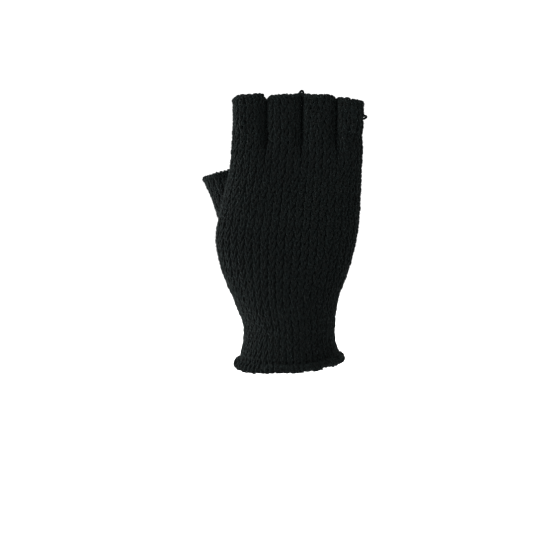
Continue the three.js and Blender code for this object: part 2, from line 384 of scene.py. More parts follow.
class Mesh:
    """Vertices and faces gathered from many strands."""

    def __init__(self):
        self.vertices, self.ply, self.quads, self.triangles, self.count = [], [], [], [], 0

    def add(self, vertices, ply, quads, triangles=None):
        """Adds one strand. Its faces number its own vertices from 0."""
        self.vertices.append(vertices)
        self.ply.append(ply)
        self.quads.append(quads + self.count)
        if triangles is not None:
            self.triangles.append(triangles + self.count)
        self.count += len(vertices)

    def make(self, name, material):
        """A Blender object with this mesh, in metres."""
        vertices = np.vstack(self.vertices) * MM
        quads = np.vstack(self.quads)
        triangles = np.vstack(self.triangles) if self.triangles else np.zeros((0, 3), int)
        data = bpy.data.meshes.new(name)
        data.vertices.add(len(vertices))
        data.vertices.foreach_set("co", vertices.astype(np.float32).ravel())
        loops = np.concatenate([quads.ravel(), triangles.ravel()])
        sizes = np.concatenate([np.full(len(quads), 4), np.full(len(triangles), 3)])
        data.loops.add(len(loops))
        data.loops.foreach_set("vertex_index", loops.astype(np.int32))
        data.polygons.add(len(sizes))
        starts = np.concatenate([[0], np.cumsum(sizes)[:-1]])
        data.polygons.foreach_set("loop_start", starts.astype(np.int32))
        data.update(calc_edges=True)
        data.shade_smooth()
        ply = data.attributes.new("ply", "FLOAT_VECTOR", "POINT")
        ply.data.foreach_set("vector", np.vstack(self.ply).astype(np.float32).ravel())
        piece = bpy.data.objects.new(name, data)
        piece.data.materials.append(material)
        bpy.context.scene.collection.objects.link(piece)
        return piece


class Strand:
    """One yarn: its centre line, the fabric's normals along it and its half thickness."""

    def __init__(self, points, normals, radius, closed=True):
        self.points, self.normals, self.closed = points, normals, closed
        self.radius = np.broadcast_to(radius, len(points)).astype(float)

    def tangents(self):
        """The directions along the yarn."""
        if self.closed:
            along = np.roll(self.points, -1, 0) - np.roll(self.points, 1, 0)
        else:
            along = np.gradient(self.points, axis=0)
        return along / np.linalg.norm(along, axis=1, keepdims=True)

    def sweep(self, mesh, sides=YARN_SIDES):
        """Adds the yarn's round skin to a mesh."""
        along = self.tangents()
        side = np.cross(along, self.normals)
        side /= np.linalg.norm(side, axis=1, keepdims=True)
        out = np.cross(side, along)
        turn = np.arange(sides) * TURN / sides
        arm = side[:, None] * np.cos(turn)[None, :, None] + out[:, None] * np.sin(turn)[None, :, None]
        vertices = self.points[:, None] + arm * self.radius[:, None, None]
        steps = np.linalg.norm(np.diff(self.points, axis=0, prepend=self.points[:1]), axis=1)
        length = np.cumsum(steps)
        twist = turn[None, :] - PLY_TWIST * length[:, None]
        ply = np.stack([np.cos(twist), np.sin(twist), np.repeat(length[:, None], sides, 1)], 2)
        n = len(self.points)
        i = np.arange(n if self.closed else n - 1)[:, None]
        j = np.arange(sides)[None, :]
        here, there = i * sides, (i + 1) % n * sides
        quads = np.stack([here + j, here + (j + 1) % sides, there + (j + 1) % sides, there + j], 2)
        caps = None
        if not self.closed:
            fan = np.arange(1, sides - 1)
            start = np.stack([np.zeros_like(fan), fan + 1, fan], 1)
            end = np.stack([np.zeros_like(fan), fan, fan + 1], 1) + (n - 1) * sides
            caps = np.vstack([start, end])
        mesh.add(vertices.reshape(-1, 3), ply.reshape(-1, 3), quads.reshape(-1, 4), caps)


def periodic(values, at):
    """Values at whole numbers, blended smoothly between them and round the end."""
    n = len(values)
    low = np.floor(at).astype(int)
    t = ease(at - low)
    return values[low % n] * (1 - t) + values[(low + 1) % n] * t


class Unevenness:
    """A smooth random field on a fabric, from -1 to 1: no hand-finished knit is regular."""

    def __init__(self, around, levels, cell):
        self.cell, self.low, self.around = cell, levels[0], around
        rows = int((levels[-1] - levels[0]) / cell) + 3
        self.grid = rng.uniform(-1, 1, (rows, around))

    def at(self, turn, level):
        """Its values at turns round and a level up."""
        row = np.clip((level - self.low) / self.cell, 0, len(self.grid) - 1.001)
        low = np.floor(row).astype(int)
        t = ease(row - low)
        column = (turn % 1.0) * self.around
        c = np.floor(column).astype(int)
        s = ease(column - c)
        a, b = c % self.around, (c + 1) % self.around
        one = self.grid[low, a] * (1 - s) + self.grid[low, b] * s
        two = self.grid[low + 1, a] * (1 - s) + self.grid[low + 1, b] * s
        return one * (1 - t) + two * t


def course_levels(low, high, spacing):
    """Heights of the courses between two levels, and the spacing that fits them in."""
    count = max(2, round((high - low) / spacing))
    pitch = (high - low) / count
    return low + pitch * (np.arange(count) + 0.5), pitch


def knit_course(fabric, wales, level, pitch, kind, wander, drift, thick):
    """One course of loops round a fabric, as a closed strand and its stitches' middle points."""
    t = np.arange(wales * LOOP_STEPS) / LOOP_STEPS * TURN
    stitch = t / TURN
    loose = periodic(rng.normal(0, 1, wales), stitch)
    lean = periodic(rng.normal(0, 1, wales), stitch)
    fat = periodic(rng.normal(0, 1, wales), stitch)
    reach = pitch * kind["reach"] * (1 + UNEVEN_REACH * loose)
    sway = kind["sway"] + UNEVEN_SWAY * lean + UNEVEN_DRIFT * drift.at(stitch / wales, level)
    legs = kind["lean"] * (1 + UNEVEN_LEAN * loose) * np.sin(2 * t)
    swung = legs - kind["pull"] * np.sin(t) + sway
    turn = (t + swung) / TURN / wales
    wandered = UNEVEN_HEIGHT * lean + UNEVEN_WANDER * wander.at(stitch / wales, level)
    height = level + reach * np.cos(t) + wandered
    yarn = kind["yarn"] * thick
    inset = yarn + kind["back"] + kind["depth"] * (1 + np.cos(2 * t)) + UNEVEN_INSET * loose
    points, normals = fabric.at(turn, height)
    radius = yarn * (1 + UNEVEN_YARN * fat)
    return Strand(points - normals * inset[:, None], normals, radius)


def around_eyelets(points, eyelets):
    """Points on the back of the hand moved out of the way of the eyelets there."""
    points = points.copy()
    for x, z in eyelets:
        across, up = points[:, 0] - x, points[:, 2] - z
        away = np.hypot(across, up) + 1e-6
        front = points[:, 1] < 0
        opened = np.hypot(away, EYELET * np.exp(-((away / EYELET_PULL) ** 2)))
        points[:, 0] = np.where(front, x + across * opened / away, points[:, 0])
        points[:, 2] = np.where(front, z + up * opened / away, points[:, 2])
    return points


def clear_of_eyelets(eyelets):
    """A test for the points of the back of the hand that lie outside every eyelet."""

    def keep(points):
        clear = np.ones(len(points), bool)
        for x, z in eyelets:
            near = np.hypot(points[:, 0] - x, points[:, 2] - z) < EYELET
            clear &= ~(near & (points[:, 1] < 0))
        return clear

    return keep


def cut_strand(strand, keep):
    """The stretches of a closed strand whose points are kept."""
    if keep.all():
        return [strand]
    if not keep.any():
        return []
    first = int(np.argmin(keep))
    order = (np.arange(len(keep)) + first) % len(keep)
    kept = keep[order]
    edges = np.flatnonzero(np.diff(np.concatenate([[0], kept.astype(int), [0]])))
    return [
        Strand(strand.points[order[a:b]], strand.normals[order[a:b]], strand.radius[order[a:b]], False)
        for a, b in zip(edges[::2], edges[1::2])
        if b - a > LOOP_STEPS // 2
    ]


def knit(fabric, wales, low, high, spacing, keep=None, kinds=(HELD, TUCK), thick=1, eyelets=()):
    """All the courses between two levels."""
    levels, pitch = course_levels(low, high, spacing)
    wander = Unevenness(WANDER_CELLS, (low, high), WANDER_SIZE)
    drift = Unevenness(wales // 2, (low, high), DRIFT_SIZE)
    strands = []
    for k, level in enumerate(levels):
        course = knit_course(fabric, wales, level, pitch, kinds[k % 2], wander, drift, thick)
        course.points = around_eyelets(course.points, eyelets)
        strands += [course] if keep is None else cut_strand(course, keep(course.points))
    return strands


def whip(fabric, wraps, level, inset, out, tall, yarn, ragged, boost=None, crowded=None):
    """Yarn whipped round the rim of a fabric, as a cast-off edge has it."""
    t = np.arange(wraps * WHIP_STEPS) / WHIP_STEPS * TURN
    turn = t / TURN / wraps
    sizes = rng.normal(0, 1, wraps).clip(-WHIP_LIMIT, WHIP_LIMIT)
    shifts = rng.normal(0, 1, wraps).clip(-WHIP_LIMIT, WHIP_LIMIT)
    size = 1 + ragged * periodic(sizes, t / TURN)
    shift = ragged * periodic(shifts, t / TURN + 0.5)
    if boost is not None:
        size = size * boost(turn)
    points, _ = fabric.at(turn, level + tall * size * np.cos(t) + shift)
    _, flat = fabric.at(turn, level)
    depth = out * size * np.sin(t) - inset
    if crowded is not None:
        depth = depth - WHIP_RECESS * crowded(points)
    return Strand(points + flat * depth[:, None], np.roll(flat, 1, 0), yarn * (1 + WHIP_UNEVEN * shift))


def rim_of(quads, size):
    """The edges that only one quad has, in its direction. There are size points in all."""
    edges = np.vstack([quads[:, [k, (k + 1) % 4]] for k in range(4)])
    key = np.sort(edges, 1) @ np.array([size, 1])
    _, first, times = np.unique(key, return_index=True, return_counts=True)
    return edges[first[times == 1]]


def nap(fabric, wales, low, high, keep=None, crowded=None):
    """The thin web of fibres and plating yarn half way through the fabric, which closes it."""
    turns = np.arange(2 * wales) / (2 * wales)
    rows = max(2, round((high - low) / NAP_ROW))
    levels = np.linspace(low, high, rows + 1)
    points, normals = fabric.at(turns[None, :], levels[:, None])
    depth = np.full(points.shape[:2], FABRIC / 2)
    if crowded is not None:
        depth -= NAP_RISE * crowded(points.reshape(-1, 3)).reshape(depth.shape)
    layers = [points - normals * (depth + side)[..., None] for side in (NAP_HALF, -NAP_HALF)]
    r = np.arange(rows)[:, None]
    c = np.arange(2 * wales)[None, :]
    n = 2 * wales
    shape = np.stack([r * n + c, r * n + (c + 1) % n, (r + 1) * n + (c + 1) % n, (r + 1) * n + c], 2)
    quads = shape.reshape(-1, 4)
    flat = points.reshape(-1, 3)
    if keep is not None:
        quads = quads[keep(flat[quads].mean(1))]
    size = len(flat)
    rim = rim_of(quads, size)
    walls = np.stack([rim[:, 1], rim[:, 0], rim[:, 0] + size, rim[:, 1] + size], 1)
    mesh = Mesh()
    vertices = np.vstack([layer.reshape(-1, 3) for layer in layers])
    used = np.unique(np.concatenate([quads.ravel(), quads.ravel() + size]))
    renumber = np.full(len(vertices), -1)
    renumber[used] = np.arange(len(used))
    faces = renumber[np.vstack([quads[:, ::-1], quads + size, walls])]
    mesh.add(vertices[used], vertices[used] * NAP_GRAIN, faces)
    return mesh


def fuzz(strands, count, crowded=None):
    """Stray fibres that stand out of the yarns, apart from where two sleeves face each other."""
    points = np.vstack([s.points for s in strands])
    normals = np.vstack([s.normals for s in strands])
    along = np.vstack([s.tangents() for s in strands])
    radius = np.concatenate([s.radius for s in strands])
    pick = rng.integers(0, len(points), count)
    if crowded is not None:
        pick = pick[crowded(points[pick]) < CROWDED]
        count = len(pick)
    normal, tangent = normals[pick], along[pick]
    side = np.cross(tangent, normal)
    turn = rng.uniform(-FIBRE_FAN, FIBRE_FAN, count)[:, None]
    out = normal * np.cos(turn) + side * np.sin(turn)
    lean = tangent * rng.normal(0, FIBRE_LEAN, count)[:, None]
    lean = lean + side * rng.normal(0, FIBRE_ASIDE, count)[:, None]
    length = rng.uniform(*FIBRE_LENGTH, count)[:, None]
    length = length * rng.choice([1, 1, 1, LONG_FIBRE], count)[:, None]
    root = points[pick] + out * radius[pick, None] * FIBRE_ROOT
    way = out + lean
    way /= np.linalg.norm(way, axis=1, keepdims=True)
    droop = rng.normal(0, FIBRE_DROOP, (count, 3))
    middle = root + way * length * FIBRE_INNER
    tip = middle + (way + droop) * length * FIBRE_OUTER
    cross = np.cross(way, rng.normal(0, 1, (count, 3)))
    cross /= np.linalg.norm(cross, axis=1, keepdims=True)
    other = np.cross(way, cross)
    return fibre_mesh(root, middle, tip, cross, other)


def fibre_mesh(root, middle, tip, cross, other):
    """Bent three-sided spikes, which all go from a root past a middle to a tip."""
    count = len(root)
    arms = [cross * math.cos(k * TURN / 3) + other * math.sin(k * TURN / 3) for k in range(3)]
    rings = [root + arm * FIBRE for arm in arms]
    rings += [middle + arm * FIBRE * FIBRE_TAPER for arm in arms]
    vertices = np.stack([*rings, tip], 1).reshape(-1, 3)
    base = (np.arange(count) * FIBRE_POINTS)[:, None]
    quads = np.vstack([base + np.array([k, (k + 1) % 3, 3 + (k + 1) % 3, 3 + k]) for k in range(3)])
    points_up = [base + np.array([3 + k, 3 + (k + 1) % 3, 6]) for k in range(3)]
    triangles = np.vstack([*points_up, base + np.array([0, 2, 1])])
    mesh = Mesh()
    mesh.add(vertices, vertices * NAP_GRAIN, quads, triangles)
    return mesh


# ---- Materials ----

WARM = (1.08, 0.92, 0.88)
COOL = (0.86, 1.04, 1.06)
DEEP = (0.0002, 0.0003, 0.0003)  # the dyed yarn where no fibre catches the light
SHEEN_TINT = (0.7, 0.93, 0.92, 1)
SHEEN_ROUGHNESS = 0.42
SPECULAR = 0.03
ROUGHNESS = (0.78, 0.98)
PATCH_SCALE = 1250
CLOUD_SCALE = 420
FIBRE_SCALE = 2.2
FIBRE_STRETCH = (2.4, 2.4, 0.8)  # the fibres run along the yarn
FIBRE_TONE = 0.6  # how much the fibres count in the tone, where the patches count 1
TONE_RANGE = (0.69, 0.91)  # the noise at which the yarn is darkest and lightest
TINT_RANGE = (0.36, 0.62)  # and at which it is warmest and coolest
PATCH_RELIEF = 3
GROOVE_RELIEF = 1.1
RELIEF_DEPTH = 0.0003  # in metres
FLOOR_TONES = ((0.86, 0.86, 0.86), (0.9, 0.9, 0.9))


def new_material(name):
    """A material with its node tree and its shader."""
    material = bpy.data.materials.new(name)
    material.use_nodes = True
    tree = material.node_tree
    return material, tree, tree.nodes["Principled BSDF"]


def node(tree, kind, **settings):
    """A new node, with its properties and inputs set by name."""
    made = tree.nodes.new(kind)
    for key, value in settings.items():
        if hasattr(made, key):
            setattr(made, key, value)
        else:
            made.inputs[key.replace("_", " ")].default_value = value
    return made


def maths(tree, operation, *values):
    """The result of a math node whose inputs are sockets or numbers."""
    made = node(tree, "ShaderNodeMath", operation=operation)
    for socket, value in zip(made.inputs, values):
        if isinstance(value, (int, float)):
            socket.default_value = value
        else:
            tree.links.new(value, socket)
    return made.outputs["Value"]


def colour_ramp(tree, factor, stops, colours):
    """The colour of a ramp between two colours at two stops."""
    ramp = node(tree, "ShaderNodeValToRGB")
    ends = ramp.color_ramp.elements
    for k in range(2):
        ends[k].position = stops[k]
        ends[k].color = (*colours[k], 1)
    tree.links.new(factor, ramp.inputs["Fac"])
    return ramp.outputs["Color"]


def yarn_colour(tree, patches, fibres, place, dark, light):
    """The yarn's tone, darker in patches and along fibres: partly uneven dye and partly painted glints where
    fibres catch the light, with faint warm and cool clouds.
    """
    link = tree.links.new
    tone = maths(tree, "MULTIPLY_ADD", fibres, FIBRE_TONE, patches)
    clouds = node(tree, "ShaderNodeTexNoise", Scale=CLOUD_SCALE, Detail=3)
    link(place, clouds.inputs["Vector"])
    tinted = node(tree, "ShaderNodeMix", data_type="RGBA", blend_type="MULTIPLY", Factor=1)
    link(colour_ramp(tree, tone, TONE_RANGE, (dark, light)), tinted.inputs["A"])
    link(colour_ramp(tree, clouds.outputs["Fac"], TINT_RANGE, (WARM, COOL)), tinted.inputs["B"])
    return tinted.outputs["Result"]


def yarn_relief(tree, patches, fibres, ply, bump):
    """The groove between the two plies and the grain of the fibres, as a bump."""
    parts = node(tree, "ShaderNodeSeparateXYZ")
    tree.links.new(ply, parts.inputs["Vector"])
    groove = maths(tree, "MULTIPLY", parts.outputs["X"], parts.outputs["Y"])
    grain = maths(tree, "MULTIPLY_ADD", patches, PATCH_RELIEF, fibres)
    height = maths(tree, "MULTIPLY_ADD", groove, GROOVE_RELIEF, grain)
    relief = node(tree, "ShaderNodeBump", Strength=bump, Distance=RELIEF_DEPTH)
    tree.links.new(height, relief.inputs["Height"])
    return relief.outputs["Normal"]


def yarn_material(name, dark, light, sheen, bump):
    """Black acrylic yarn: plies that twist, fibres along them and a soft sheen."""
    material, tree, shader = new_material(name)
    link = tree.links.new
    shader.inputs["Metallic"].default_value = 0
    shader.inputs["Specular IOR Level"].default_value = SPECULAR
    shader.inputs["Sheen Weight"].default_value = sheen
    shader.inputs["Sheen Roughness"].default_value = SHEEN_ROUGHNESS
    shader.inputs["Sheen Tint"].default_value = SHEEN_TINT

    place = node(tree, "ShaderNodeTexCoord").outputs["Object"]
    patches = node(tree, "ShaderNodeTexNoise", Scale=PATCH_SCALE, Detail=3, Roughness=0.7)
    link(place, patches.inputs["Vector"])
    ply = node(tree, "ShaderNodeAttribute", attribute_name="ply").outputs["Vector"]
    stretch = node(tree, "ShaderNodeMapping", Scale=FIBRE_STRETCH)
    link(ply, stretch.inputs["Vector"])
    fibres = node(tree, "ShaderNodeTexNoise", Scale=FIBRE_SCALE, Detail=4, Roughness=0.65)
    link(stretch.outputs["Vector"], fibres.inputs["Vector"])
    patches, fibres = patches.outputs["Fac"], fibres.outputs["Fac"]

    link(yarn_colour(tree, patches, fibres, place, dark, light), shader.inputs["Base Color"])
    rough = node(tree, "ShaderNodeMapRange", To_Min=ROUGHNESS[0], To_Max=ROUGHNESS[1])
    link(fibres, rough.inputs["Value"])
    link(rough.outputs["Result"], shader.inputs["Roughness"])
    link(yarn_relief(tree, patches, fibres, ply, bump), shader.inputs["Normal"])
    return material


def backdrop_material():
    """Pale matte floor with a faint mottle."""
    material, tree, shader = new_material("pale_floor")
    shader.inputs["Roughness"].default_value = 0.9
    place = node(tree, "ShaderNodeTexCoord")
    cloud = node(tree, "ShaderNodeTexNoise", Scale=3, Detail=2)
    tree.links.new(place.outputs["Object"], cloud.inputs["Vector"])
    colour = colour_ramp(tree, cloud.outputs["Fac"], (0, 1), FLOOR_TONES)
    tree.links.new(colour, shader.inputs["Base Color"])
    return material


# The light end of each yarn's tone ramp is partly uneven dye and partly painted glints of fibres catching
# the light.
KNIT_LIGHT = (0.0022, 0.0029, 0.0028)
HEM_LIGHT = (0.0024, 0.0032, 0.0031)
NAP_TONES = ((0.0004, 0.0006, 0.0006), (0.0024, 0.0031, 0.0031))
# The stray fibres are painted up to about ten times lighter than the knit: partly pale lint, and partly a
# painted highlight for the glints the fibres catch.
FUZZ_TONES = ((0.002, 0.0026, 0.0026), (0.02, 0.025, 0.025))
ELASTIC_TONES = ((0.012, 0.015, 0.016), (0.03, 0.035, 0.037))
KNIT = yarn_material("black_knit", DEEP, KNIT_LIGHT, sheen=0.0245, bump=1.0)
HEM = yarn_material("black_cast_off", DEEP, HEM_LIGHT, sheen=0.0245, bump=1.0)
NAP = yarn_material("black_nap", *NAP_TONES, sheen=0.01, bump=0.3)
FUZZ = yarn_material("black_fuzz", *FUZZ_TONES, sheen=0.03, bump=0.1)
ELASTIC = yarn_material("black_elastic", *ELASTIC_TONES, sheen=0.1, bump=0.6)

# ---- Camera, light and floor ----

CAMERA_PLACE = (-0.0055, -0.600, 0.137)
CAMERA_TILT = 7.9  # degrees down from level
CAMERA_LENS = 60.2
GLOVE_MIDDLE = (0, 0, 0.09)  # where the lamps point
LAMPS = (  # name, place, size and power
    ("key", (-0.95, -0.5, 0.5), 0.6, 34),
    ("fill", (0.8, -0.6, 0.35), 0.8, 4),
    ("back", (0.2, 0.9, 0.7), 0.8, 16),
    ("edge", (-1.0, 0.25, 0.3), 0.5, 24),
)
SKY_STRENGTH = 1.2
FLOOR_HALF = 3.0
FLOOR_HEIGHT = -0.16


def make_camera():
    """Level with the knuckles, a little to the thumb's side, looking slightly down."""
    data = bpy.data.cameras.new("camera")
    data.lens = CAMERA_LENS
    camera = bpy.data.objects.new("camera", data)
    camera.location = CAMERA_PLACE
    camera.rotation_euler = (math.radians(90 - CAMERA_TILT), 0, 0)
    bpy.context.scene.collection.objects.link(camera)
    bpy.context.scene.camera = camera


def soft_light(name, place, size, power):
    """A round area lamp that points at the glove."""
    data = bpy.data.lights.new(name, "AREA")
    data.shape = "DISK"
    data.size = size
    data.energy = power
    lamp = bpy.data.objects.new(name, data)
    lamp.location = place
    towards = Vector(GLOVE_MIDDLE) - lamp.location
    lamp.rotation_euler = towards.to_track_quat("-Z", "Y").to_euler()
    bpy.context.scene.collection.objects.link(lamp)


def make_floor():
    """A wide pale floor."""
    half, z = FLOOR_HALF, FLOOR_HEIGHT
    data = bpy.data.meshes.new("floor")
    corners = [(-half, -half, z), (half, -half, z), (half, half, z), (-half, half, z)]
    data.from_pydata(corners, [], [(0, 1, 2, 3)])
    floor = bpy.data.objects.new("floor", data)
    floor.data.materials.append(backdrop_material())
    bpy.context.scene.collection.objects.link(floor)


def make_studio():
    """Soft light all round, strongest from the thumb's side, over a pale floor."""
    scene = bpy.context.scene
    scene.view_settings.view_transform = "Standard"
    world = bpy.data.worlds.new("studio")
    world.use_nodes = True
    sky = world.node_tree.nodes["Background"]
    sky.inputs["Color"].default_value = (1, 1, 1, 1)
    sky.inputs["Strength"].default_value = SKY_STRENGTH
    scene.world = world
    for lamp in LAMPS:
        soft_light(*lamp)
    make_floor()


# ---- The glove's pieces ----

WRIST_BEND = ((0, 0, 14 * MM), (0, 0, 58 * MM))
ACROSS_WRIST = (("cuff", "hand"), WRIST_BEND)
FINGER_BEND_END = 165.5  # the height at which a finger's bend ends
LITTLE_BEND_END = 163.5
HAND_GRID = (-4, 154)  # the levels between which the hand's own grid is made
SLEEVE_STEP = 0.5  # and the step between a sleeve's levels
MID_HAND = 92  # the hand's knit is two pieces, which meet here
CUFF_HEM_TOP = 4.5
CUFF_HEM_LOW = 0.4
CUFF_NAP_LOW = -0.3
NAP_OVERLAP = 1  # the cuff's web starts this far below its courses
FORK_OVERLAP = 0.5  # and a sleeve's web this far below the fork
HEM_HEIGHT = 3.6
HEM_END = 0.6  # a hem's courses end this far below its rim
GUSSET_LOW = 3  # how far along the thumb its courses begin
THUMB_BEND_STOP = 4  # the thumb's bend ends this far before its mouth
THUMB_STEEPNESS = 0.985  # height gained along the thumb's normal, as a share of the way along it
FABRIC_OVERHANG = 4  # a sleeve's grid goes this far past its courses
JOIN_DEPTH = 1.6  # the thumb's and the hand's courses end this deep inside each other
CUFF_THICK = 0.9  # how thick the yarn is, as a share of the hand's
SLEEVE_THICK = 1.08
THUMB_HEM_THICK = 0.9
# How yarns are whipped round a rim: how far the wraps reach out and up, and how uneven they are.
CUFF_WINDING = {"out": 1.1, "tall": 1.4, "yarn": HEM_YARN * 1.1, "ragged": 0.3}
CUFF_LAST_WINDING = {"out": 1.4, "tall": 1.7, "yarn": HEM_YARN * 1.15, "ragged": 0.22}
FINGER_WINDING = {"inset": 1.3, "out": 1.0, "tall": 1.15, "yarn": HEM_YARN, "ragged": 0.14}
THUMB_WINDING = {"inset": 1.2, "out": 1.1, "tall": 1.2, "yarn": HEM_YARN, "ragged": 0.16}
CUFF_WHIPS = (  # wraps, level, inset and winding
    (63, 2.2, 0.3, CUFF_WINDING),
    (57, 2.3, 1.2, CUFF_WINDING),
    (49, 2.0, 0.6, CUFF_WINDING),
    (64, 1.2, 0.5, CUFF_LAST_WINDING),
)
FINGER_WHIP_DROPS = (1.5, 1.2)  # how far below the rim its two yarns are wound
THUMB_WHIP_DROPS = (1.4, 1.1)
WHIP_OFFBEAT = 3  # the second yarn has this many wraps fewer
THUMB_CURL, THUMB_CURL_WIDTH = 0.1, 0.035  # the cuff's wraps stand out more here, in turns
LITTLE_CURL, LITTLE_CURL_WIDTH = 0.4, 0.06  # and less here
ELASTIC_GAP = 0.6  # between the fabric's inner face and an elastic thread
ELASTIC_POINTS = 260
ELASTIC_RIPPLES = 130
ELASTIC_RIPPLE = 0.08
ELASTIC_SIDES = 8
LOOSE_STEPS = 26  # steps along the yarn in one turn of a loose end
LOOSE_WIDTH = 0.45  # its loops' half width, as a share of its size
LOOSE_GROWTH = 0.4  # the share of this width that it gains from its first loop to its last
LOOSE_DRIFT = 0.3  # how far its end lies from its start, as a share of its size
LOOSE_ENDS = (  # name, body, root, the way it points, the way it is wide, size and turns
    ("little_stray", "little", (45.9, -2, 157.4), (1, -0.15, 0.1), (0, -0.3, 1), 3.0, 1),
    ("middle_stray", "middle", (7.5, -5.6, 170.2), (0.2, 0, 1), (1, -0.2, 0), 3.4, 3),
    ("index_stray", "index", (-16.8, -7.9, 169.6), (0, -0.1, 1), (1, -0.3, 0), 2.1, 2),
)
CROTCH_WRAPS = 7
CROTCH_STEPS = 10
CROTCH_YARN = 0.42
CROTCH_CORE = 0.7
CROTCH_CORE_POINTS = 24
CROTCH_GAP = 0.3  # the stitches are wound this far inside the solid
CROTCH_FLATNESS = 0.8
CROTCH_RECESS = 2.2  # the stitches stop this far behind the fabric's faces
FIBRES = {  # how many stray fibres each piece has
    "cuff": 6500,
    "cuff_edge": 4200,
    "hand": 13000,
    "finger": 2200,
    "finger_edge": 900,
    "thumb": 3600,
    "thumb_edge": 950,
}


def eyelet_rows(x, apart, across, shift, z, rows):
    """Rows of eyelets from z down, one to a course, with every other row shifted towards -X."""
    return [
        (x - shift * (row % 2) + apart * k, z - HAND_COURSE * row)
        for row in range(rows)
        for k in range(across)
    ]


EYELETS = {  # where the stretched knit opens on the back of the hand, as x and z
    "index": eyelet_rows(-26.4, 5.2, 2, 2.4, 160, 4)[1:],
    "middle": [(3.3, 154.8), (1.9, 152.4)],
    "ring": eyelet_rows(15.6, 5.8, 3, 1.5, 166.2, 5),
    "little": [(36.3, 158.2), (41.3, 158.2), (35.6, 155.2), (40.6, 155.2)],
    "hand": [(-26.8, 111), (-30.5, 107.9)],
}


def sweep_all(strands, sides=YARN_SIDES):
    """One mesh of all the strands."""
    mesh = Mesh()
    for strand in strands:
        strand.sweep(mesh, sides)
    return mesh


def add_piece(name, mesh, material, nodes=(), body=None, bend=None):
    """Makes a piece and hides the frame's parts that it stands for. A piece with a bend keeps its place in
    the world; any other is parented to its body's empty.
    """
    piece = mesh.make(name, material)
    if bend:
        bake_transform(piece)
    else:
        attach(piece, body)
    if nodes:
        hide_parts(*nodes)


def make_cuff(hand):
    """The cuff's courses, up to the hand's."""
    rows = knit(hand, HAND_WALES, CUFF_HEM_TOP, CUFF_TOP, CUFF_COURSE, thick=CUFF_THICK)
    add_piece("cuff_knit", sweep_all(rows), KNIT, ["cuff"], bend=ACROSS_WRIST)
    web = nap(hand, HAND_WALES, CUFF_HEM_TOP - NAP_OVERLAP, CUFF_TOP)
    add_piece("cuff_nap", web, NAP, bend=ACROSS_WRIST)
    add_piece("cuff_fuzz", fuzz(rows, FIBRES["cuff"]), FUZZ, bend=ACROSS_WRIST)


def curl(turn):
    """How much the cuff's whipping stands out: a little more at the thumb, less opposite."""
    near_thumb = np.exp(-((np.minimum(turn, 1 - turn) / THUMB_CURL_WIDTH) ** 2))
    near_little = np.exp(-(((turn - 0.5) / LITTLE_CURL_WIDTH) ** 2))
    return 1 + THUMB_CURL * near_thumb - LITTLE_CURL * near_little


def make_cuff_edge(hand):
    """The cuff's edge rolls outwards, and its rim is whipped, the lowest wraps over the rest."""
    rows = knit(hand, HAND_WALES, CUFF_HEM_LOW, CUFF_HEM_TOP, CUFF_HEM_COURSE, kinds=(PLAIN, PLAIN))
    for wraps, level, inset, winding in CUFF_WHIPS:
        rows.append(whip(hand, wraps, level, inset, boost=curl, **winding))
    add_piece("cuff_edge", sweep_all(rows), HEM, ["cuff_hem"], body="cuff")
    web = nap(hand, HAND_WALES, CUFF_NAP_LOW, CUFF_HEM_TOP)
    add_piece("cuff_edge_nap", web, NAP, body="cuff")
    add_piece("cuff_edge_fuzz", fuzz(rows, FIBRES["cuff_edge"]), FUZZ, body="cuff")


def make_elastics(hand):
    """Covered elastic threads, seen inside the cuff."""
    for name in sorted(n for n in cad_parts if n.startswith("cuff_elastic")):
        low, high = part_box(name)
        level = (low[2] + high[2]) / 2 / MM
        half = (high[2] - low[2]) / 2 / MM
        turns = np.arange(ELASTIC_POINTS) / ELASTIC_POINTS
        points, normals = hand.at(turns, level)
        depth = SOLID_WALL + ELASTIC_GAP + half
        ripple = half * (1 + ELASTIC_RIPPLE * np.cos(TURN * turns * ELASTIC_RIPPLES))
        thread = Strand(points - normals * depth, normals, ripple)
        mesh = sweep_all([thread], ELASTIC_SIDES)
        add_piece(name.replace("cuff_", "") + "_thread", mesh, ELASTIC, [name], bend=ACROSS_WRIST)


def outside_thumb(points):
    """Which points of the hand are kept round the opening for the thumb."""
    return depth_in_thumb(points) < JOIN_DEPTH


def outside_hand(points):
    """Which points of the thumb are kept where it leaves the hand."""
    return depth_in_hand(points) < JOIN_DEPTH


def make_hand(hand):
    """The hand's courses, in two pieces, with the opening for the thumb."""
    keep = outside_thumb
    eyelets = EYELETS["hand"]
    lower = knit(hand, HAND_WALES, CUFF_TOP, MID_HAND, HAND_COURSE, keep)
    upper = knit(hand, HAND_WALES, MID_HAND, CROTCH, HAND_COURSE, keep, eyelets=eyelets)
    for name, rows in (("palm_knit", lower), ("knuckle_knit", upper)):
        add_piece(name, sweep_all(rows), KNIT, ["hand_body"], bend=ACROSS_WRIST)
        stray = fuzz(rows, FIBRES["hand"])
        add_piece(name.replace("knit", "fuzz"), stray, FUZZ, bend=ACROSS_WRIST)
    add_piece("hand_nap", nap(hand, HAND_WALES, CUFF_TOP, CROTCH, keep), NAP, bend=ACROSS_WRIST)


def finger_bend(finger):
    """Over what a finger's sleeve bends: the two bodies and the two ends of the bend."""
    left, right, *_ = FINGERS[finger]
    x = (left + right) / 2 * MM
    end = LITTLE_BEND_END if finger == "little" else FINGER_BEND_END
    return ("hand", finger), ((x, 0, CROTCH * MM), (x, 0, end * MM))


def whip_rim(fabric, wales, top, drops, winding, crowded=None):
    """The two yarns whipped round the rim of a sleeve."""
    first, second = drops
    return [
        whip(fabric, wales * 2, top - first, crowded=crowded, **winding),
        whip(fabric, wales * 2 - WHIP_OFFBEAT, top - second, crowded=crowded, **winding),
    ]


